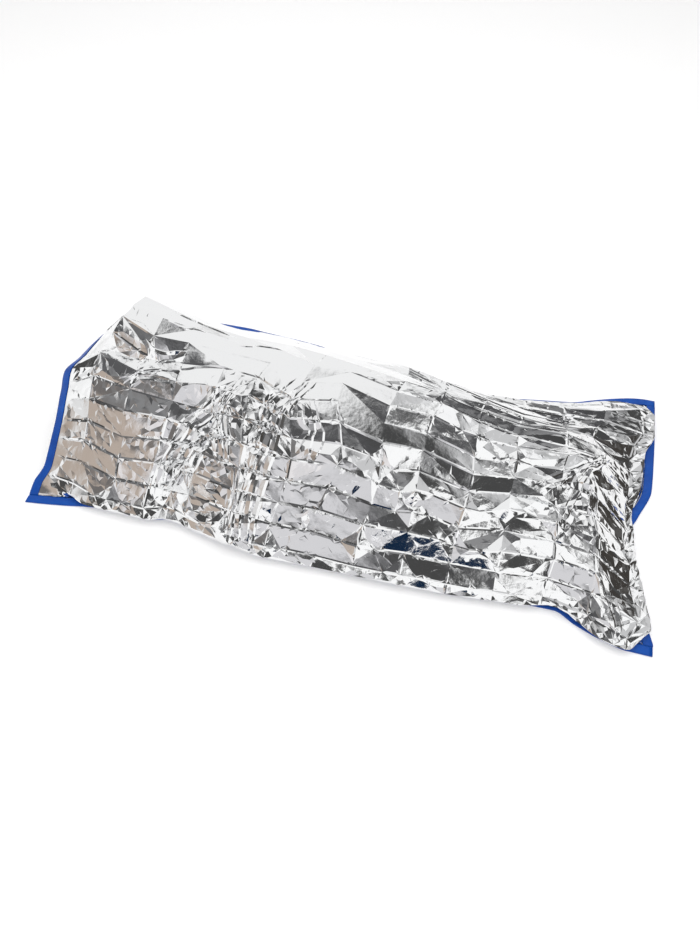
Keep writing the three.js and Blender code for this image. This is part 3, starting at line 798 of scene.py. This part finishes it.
def film_mesh():
    """The top film with its facets, folds, pleats and creases: places, faces and its smooth grid."""
    grid = film_places()
    draws = np.random.default_rng(SEED + 1)
    inner = np.s_[:ROWS + 1, HEM:-HEM]
    film, out, calm = grid[inner], normals(grid)[inner], calmness()
    flat, corners, edges = faceted(film, out, draws)
    places, triangles, heights, rim = creased_net(corners, edges, draws)
    lofted_places = sampled(film + calm * (flat - film), places)
    lofted_places += sampled(out, places) * sampled(calm, places) * heights
    hem = np.ones(grid.shape[:2], bool)
    hem[inner] = False
    number = np.full(grid.shape[:2], -1)
    number[hem] = len(places) + np.arange(hem.sum())
    number[tuple((border() + [0, HEM]).T)] = rim
    hem_faces = number.ravel()[quads(*grid.shape[:2])]
    hem_faces = hem_faces[(hem_faces >= 0).all(axis=1)]
    return np.concatenate([lofted_places, grid[hem]]), [*triangles.tolist(), *hem_faces.tolist()], grid


def quads(rows, columns):
    """Corner numbers of the faces of a grid."""
    first = (np.arange(rows - 1)[:, None] * columns + np.arange(columns - 1)).ravel()
    return np.stack([first, first + columns, first + columns + 1, first + 1], -1)


def ring_quads(rings, count):
    """Corner numbers of the faces of a closed band through rings of points, with both ends shut."""
    start = np.repeat(np.arange(rings - 1) * count, count)
    here = np.tile(np.arange(count), rings - 1)
    after = (here + 1) % count
    sides = np.stack([start + here, start + count + here, start + count + after, start + after], -1)
    pair = np.arange(count // 2 - 1)
    end = np.stack([pair, pair + 1, count - 2 - pair, count - 1 - pair], -1)
    last = (rings - 1) * count
    return np.concatenate([sides, end, last + end[:, ::-1]])


def piece(name, places, faces, material, slot, *nodes):
    """A smooth-shaded piece that rides on the bag and stands for its solids."""
    mesh = bpy.data.meshes.new(name)
    mesh.from_pydata((np.asarray(places).reshape(-1, 3) - [LENGTH / 2, WIDTH / 2, 0]) * METRES, [], faces)
    mesh.materials.append(material)
    mesh.shade_smooth()
    obj = bpy.data.objects.new(name, mesh)
    bpy.context.scene.collection.objects.link(obj)
    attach(obj, "root")
    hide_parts(*nodes)
    return obj


def folded_tape(name, rings, material, node):
    """A tape folded over an edge, from rings of points around its section."""
    return piece(name, rings, ring_quads(*rings.shape[:2]), material, "tape", node)


def flat_tape(name, edge, inwards, half, material, node):
    """A tape around a flat seam or lip: its edge line, the direction inwards, and half of what it holds."""
    draws = np.random.default_rng(len(name))
    outer = half + TAPE
    away = np.linspace(TAPE_LEG, -TAPE_GAP, TAPE_STEPS + 1)
    ripple = TAPE_RISE * np.abs(waves(edge[:, :1], edge[:, 1:2] + away, TAPE_WAVE, draws))
    ripple = ripple * fade(away - RIPPLE_FROM, RIPPLE_REACH)
    level = np.zeros((len(edge), 1))

    def leg(up, beyond, lift):
        """One face of a leg, at that height, with its reach past the edge and its ripple."""
        reach = np.where(away < 0, away - beyond, away)
        flat = edge[:, None, :2] + reach[None, :, None] * np.asarray(inwards, float)
        return np.concatenate([flat, (outer + up + lift + 0 * reach)[..., None]], -1)

    rings = np.concatenate([
        leg(outer, TAPE, ripple), leg(-outer, TAPE, level)[:, ::-1],
        leg(-half, 0, level), leg(half, 0, ripple)[:, ::-1]], axis=1)
    return folded_tape(name, rings, material, node)


def lip_tape(name, film, out, material, node):
    """The tape folded over the upper lip of the mouth, which lies on the film."""
    columns = np.s_[TAPE_ENDS:-TAPE_ENDS]
    at = np.linspace(TAPE_LEG / ROW_STEP, 0, TAPE_STEPS + 1)
    low = np.floor(at).astype(int)
    part = (at - low)[:, None, None]
    places = (film[low] * (1 - part) + film[low + 1] * part)[:, columns]
    normal = (out[low] * (1 - part) + out[low + 1] * part)[:, columns]
    beyond = places[-1] - places[-2]
    beyond /= np.linalg.norm(beyond, axis=-1, keepdims=True)

    def leg(up, over):
        """One face of a leg, at that height off the film, with its reach past the lip."""
        made = places + up * normal
        made[-1] += (TAPE_GAP + over) * beyond
        return made

    outer = LIP_HALF + TAPE
    rings = np.concatenate([
        leg(outer, TAPE), leg(-outer, TAPE)[::-1], leg(-LIP_HALF, 0), leg(LIP_HALF, 0)[::-1]])
    return folded_tape(name, rings.transpose(1, 0, 2), material, node)


def bottom_surface():
    """Places of the bottom film: flat on the ground, with raised margins under the seams and low crinkle."""
    draws = np.random.default_rng(SEED + 2)
    along = np.linspace(0, LENGTH - FOOT_TRIM, BOTTOM_ROWS + 1)[:, None]
    near = smooth(SECTIONS, "along", "near_edge", along)
    far = smooth(SECTIONS, "along", "far_edge", along)
    across = near + (far - near) * np.linspace(0, 1, BOTTOM_COLUMNS + 1)
    setback = smooth(FOOT, "share", "setback", width_share(across))
    setback[:, [0, -1]] = 0
    inset = np.minimum(np.minimum(across - near, far - across), np.minimum(along, LENGTH - along))
    lift = MARGIN_LIFT * np.clip((RAMP_END - inset) / (RAMP_END - MARGIN), 0, 1)
    ripple = BOTTOM_RISE * np.abs(waves(along, across, BOTTOM_WAVE, draws, BOTTOM_WAVES))
    ripple = ripple * fade(inset - RAMP_END, BOTTOM_CALM)
    up = FILM_MID + lift + np.minimum(ripple, BOTTOM_RISE)
    return np.stack([along - setback * foot_share(along), across, up], -1)


def nodes_of(material):
    """The node tree of a material with only its shader and output, and the shader."""
    material.use_nodes = True
    tree = material.node_tree
    return tree, tree.nodes["Principled BSDF"]


def fill(node, values):
    """Sets inputs of a node by name."""
    for name, value in values.items():
        node.inputs[name].default_value = value


def noise(tree, scale, detail, source):
    """A noise texture over those coordinates."""
    made = tree.nodes.new("ShaderNodeTexNoise")
    fill(made, {"Scale": scale, "Detail": detail})
    tree.links.new(source, made.inputs["Vector"])
    return made.outputs["Fac"]


def ranged(tree, value, limits, low, high, kind="LINEAR"):
    """A value between limits spread over another range."""
    made = tree.nodes.new("ShaderNodeMapRange")
    made.interpolation_type = kind
    fill(made, {"From Min": limits[0], "From Max": limits[1], "To Min": low, "To Max": high})
    tree.links.new(value, made.inputs["Value"])
    return made.outputs["Result"]


def bump(tree, height, depth):
    """Bump of a height field, that depth in metres."""
    made = tree.nodes.new("ShaderNodeBump")
    made.inputs["Distance"].default_value = depth
    tree.links.new(height, made.inputs["Height"])
    return made.outputs["Normal"]


def film_material(name, metallic, least_haze, most_haze):
    """Bright metallised film, finely crinkled and hazy in patches."""
    material = bpy.data.materials.new(name)
    tree, shader = nodes_of(material)
    place = tree.nodes.new("ShaderNodeTexCoord").outputs["Object"]
    fill(shader, {"Base Color": FILM_COLOUR, "Metallic": metallic})
    haze = ranged(tree, noise(tree, *FILM_HAZE, place), NOISE_RANGE, least_haze, most_haze)
    tree.links.new(haze, shader.inputs["Roughness"])
    tree.links.new(bump(tree, noise(tree, *FILM_DENTS, place), FILM_DENT_DEPTH), shader.inputs["Normal"])
    return material


def tape_material():
    """Blue plastic tape with a soft gloss, faint streaks and small dents."""
    material = bpy.data.materials.new("blue_tape")
    tree, shader = nodes_of(material)
    place = tree.nodes.new("ShaderNodeTexCoord").outputs["Object"]
    mix = tree.nodes.new("ShaderNodeMix")
    mix.data_type = "RGBA"
    fill(mix, {"A": TAPE_DARK, "B": TAPE_LIGHT})
    streaks = ranged(tree, noise(tree, *TAPE_STREAKS, place), NOISE_RANGE, 0, 1)
    tree.links.new(streaks, mix.inputs["Factor"])
    tree.links.new(mix.outputs["Result"], shader.inputs["Base Color"])
    fill(shader, {"Specular IOR Level": TAPE_SHINE})
    gloss = ranged(tree, noise(tree, *TAPE_PATCHES, place), NOISE_RANGE, *TAPE_ROUGHNESS)
    tree.links.new(gloss, shader.inputs["Roughness"])
    tree.links.new(bump(tree, noise(tree, *TAPE_DENTS, place), TAPE_DENT_DEPTH), shader.inputs["Normal"])
    return material


def make_bag():
    """All pieces of the bag."""
    film, tape = film_material("silver_film", *TOP_FILM), tape_material()
    inside = film_material("hazy_film", *BOTTOM_FILM)
    places, faces, top = film_mesh()
    bottom = bottom_surface()
    near, far = top[:, 0], top[:, -1]
    foot = top[-1, TAPE_ENDS:-TAPE_ENDS]
    lower_lip = bottom[0, LOWER_TAPE_ENDS:-LOWER_TAPE_ENDS]
    tapes = [
        flat_tape("near_side_binding", near, (0, 1), SEAM_HALF, tape, "near_side_tape"),
        flat_tape("far_side_binding", far, (0, -1), SEAM_HALF, tape, "far_side_tape"),
        flat_tape("foot_binding", foot, (-1, 0), SEAM_HALF, tape, "foot_tape"),
        flat_tape("lower_lip_binding", lower_lip, (1, 0), LIP_HALF, tape, "mouth_tape_bottom"),
        lip_tape("upper_lip_binding", top, normals(top), tape, "mouth_tape_top"),
    ]
    under = piece("bottom_film", bottom, quads(*bottom.shape[:2]), inside, "film", "bottom_panel")
    upper = piece("top_film", places, faces, film, "film", "top_panel")
    upper.data.set_sharp_from_angle(angle=math.radians(SHARP))


def direction(bearing, height):
    """Direction to a bearing and a height in degrees: bearing 0 is the front, and 90 the foot end."""
    turn, tilt = math.radians(bearing), math.radians(height)
    return Vector((math.sin(turn) * math.cos(tilt), -math.cos(turn) * math.cos(tilt), math.sin(tilt)))


def make_camera():
    """The camera, aimed at the bag."""
    data = bpy.data.cameras.new("camera")
    data.sensor_width = SENSOR
    data.lens = FOCAL_PIXELS * SENSOR / LONG_SIDE
    camera = bpy.data.objects.new("camera", data)
    back = direction(AZIMUTH, ELEVATION)
    camera.location = TARGET + back * CAMERA_DISTANCE
    camera.rotation_euler = (-back).to_track_quat("-Z", "Y").to_euler()
    bpy.context.scene.collection.objects.link(camera)
    bpy.context.scene.camera = camera


def make_ceiling_light():
    """A soft overhead light for the floor and the tapes, which the film doesn't mirror."""
    data = bpy.data.lights.new("ceiling_light", "AREA")
    data.size = CEILING_SIZE
    data.energy = CEILING_LEVEL * math.pi * CEILING_SIZE ** 2
    light = bpy.data.objects.new("ceiling_light", data)
    light.location = (0, 0, CEILING_HEIGHT)
    light.visible_camera = False
    light.visible_glossy = False
    bpy.context.scene.collection.objects.link(light)


def make_floor():
    """A plain pale floor just under the bag, with a faint glow."""
    corners = [(-1, -1), (1, -1), (1, 1), (-1, 1)]
    mesh = bpy.data.meshes.new("floor")
    mesh.from_pydata([(x * FLOOR_HALF, y * FLOOR_HALF, -FLOOR_DROP) for x, y in corners], [], [(0, 1, 2, 3)])
    material = bpy.data.materials.new("pale_floor")
    _, shader = nodes_of(material)
    fill(shader, {
        "Base Color": FLOOR_COLOUR, "Roughness": FLOOR_ROUGHNESS,
        "Emission Color": FLOOR_GLOW, "Emission Strength": FLOOR_GLOW_LEVEL})
    mesh.materials.append(material)
    floor = bpy.data.objects.new("floor", mesh)
    bpy.context.scene.collection.objects.link(floor)


def room_colour(tree, towards):
    """Uneven light and dark all around."""
    level = noise(tree, *ROOM_NOISE, towards)
    ramp = tree.nodes.new("ShaderNodeValToRGB")
    stops = ramp.color_ramp.elements
    while len(stops) < len(ROOM):
        stops.new(1)
    for stop, (at, grey) in zip(stops, ROOM):
        stop.position = at
        stop.color = (grey, grey, grey, 1)
    tree.links.new(level, ramp.inputs["Fac"])
    return ramp.outputs["Color"]


def with_panel(tree, towards, under, panel):
    """The colour under it, and over it a soft round panel."""
    bearing, height, inner, outer, solidity, colour = panel
    dot = tree.nodes.new("ShaderNodeVectorMath")
    dot.operation = "DOT_PRODUCT"
    dot.inputs[1].default_value = direction(bearing, height)
    tree.links.new(towards, dot.inputs[0])
    limits = math.cos(math.radians(outer)), math.cos(math.radians(inner))
    cover = ranged(tree, dot.outputs["Value"], limits, 0, solidity, "SMOOTHSTEP")
    mix = tree.nodes.new("ShaderNodeMix")
    mix.data_type = "RGBA"
    fill(mix, {"B": (*colour, 1)})
    tree.links.new(cover, mix.inputs["Factor"])
    tree.links.new(under, mix.inputs["A"])
    return mix.outputs["Result"]


def make_world():
    """A pale backdrop, and around it the studio that the film mirrors."""
    world = bpy.data.worlds.new("studio")
    bpy.context.scene.world = world
    world.use_nodes = True
    tree = world.node_tree
    towards = tree.nodes.new("ShaderNodeTexCoord").outputs["Generated"]
    colour = room_colour(tree, towards)
    for panel in PANELS:
        colour = with_panel(tree, towards, colour, panel)
    room = tree.nodes["Background"]
    tree.links.new(colour, room.inputs["Color"])
    backdrop = tree.nodes.new("ShaderNodeBackground")
    fill(backdrop, {"Color": PALE_BACKDROP})
    mix = tree.nodes.new("ShaderNodeMixShader")
    tree.links.new(tree.nodes.new("ShaderNodeLightPath").outputs["Is Camera Ray"], mix.inputs["Fac"])
    tree.links.new(room.outputs["Background"], mix.inputs[1])
    tree.links.new(backdrop.outputs["Background"], mix.inputs[2])
    tree.links.new(mix.outputs["Shader"], tree.nodes["World Output"].inputs["Surface"])
    bpy.context.scene.view_settings.view_transform = "Standard"


make_bag()
make_floor()
make_ceiling_light()
make_world()
make_camera()
